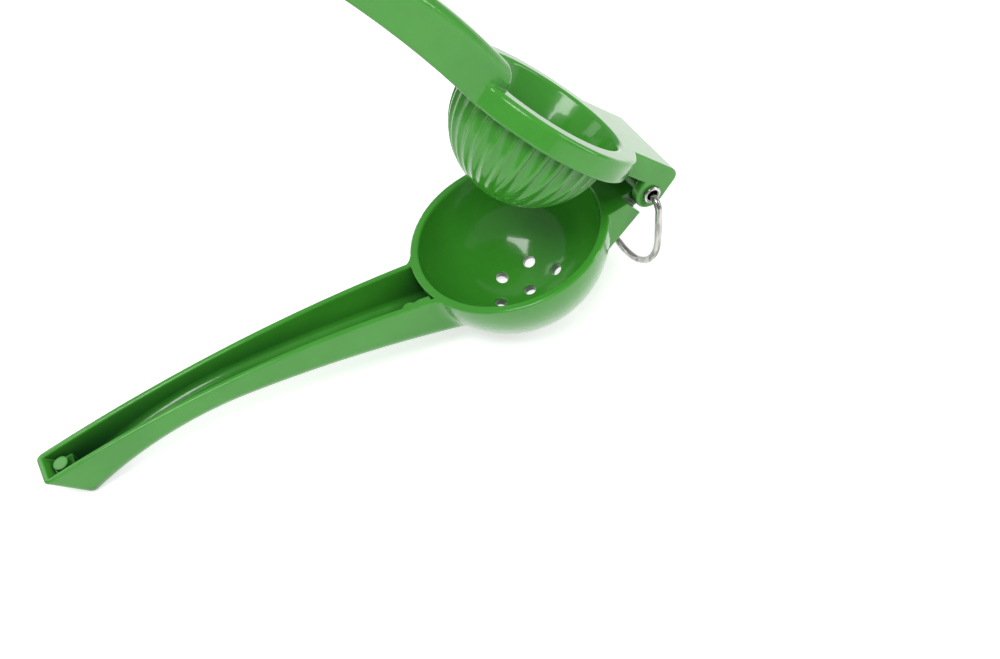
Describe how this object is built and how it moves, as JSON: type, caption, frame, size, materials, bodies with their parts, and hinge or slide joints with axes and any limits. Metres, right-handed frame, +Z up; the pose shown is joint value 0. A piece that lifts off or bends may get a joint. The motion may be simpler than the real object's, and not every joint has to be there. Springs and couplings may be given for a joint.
{
  "type": "hinged lemon squeezer",
  "caption": "Hinged citrus squeezer standing open: perforated half-ball bowl arm, fluted press-dome arm, hollow rivet hinge and a wire loop to hang it by.",
  "frame": {"origin": "centre of the bounding box's foot, on the surface the tool stands on", "axes": "+X from the handles towards the hinge, +Y across the tool, +Z up; the tool stands on its bowl and its handle's heel with the press arm open"},
  "size_m": [0.225, 0.07, 0.2064],
  "materials": {
    "bowl_enamel": "high-gloss green enamel on cast aluminium",
    "press_enamel": "high-gloss green enamel on cast aluminium",
    "rivet_steel": "bright plated steel",
    "loop_steel": "bright plated steel"
  },
  "bodies": {
    "bowl_arm": {"bowl_arm": "bowl_enamel", "hinge_rivet": "rivet_steel"},
    "press_arm": {"press_arm": "press_enamel"},
    "hanging_loop": {"hanging_loop": "loop_steel"}
  },
  "joints": [
    {"name": "press_hinge", "type": "hinge", "parent": "bowl_arm", "child": "press_arm", "pos_m": [0.10228, 0, 0.0434], "axis": [0, 1, 0], "range_deg": [-54, 66]},
    {"name": "loop_swing", "type": "hinge", "parent": "bowl_arm", "child": "hanging_loop", "pos_m": [0.10228, 0, 0.04279], "axis": [0, 1, 0], "range_deg": [-115, 28]}
  ]
}
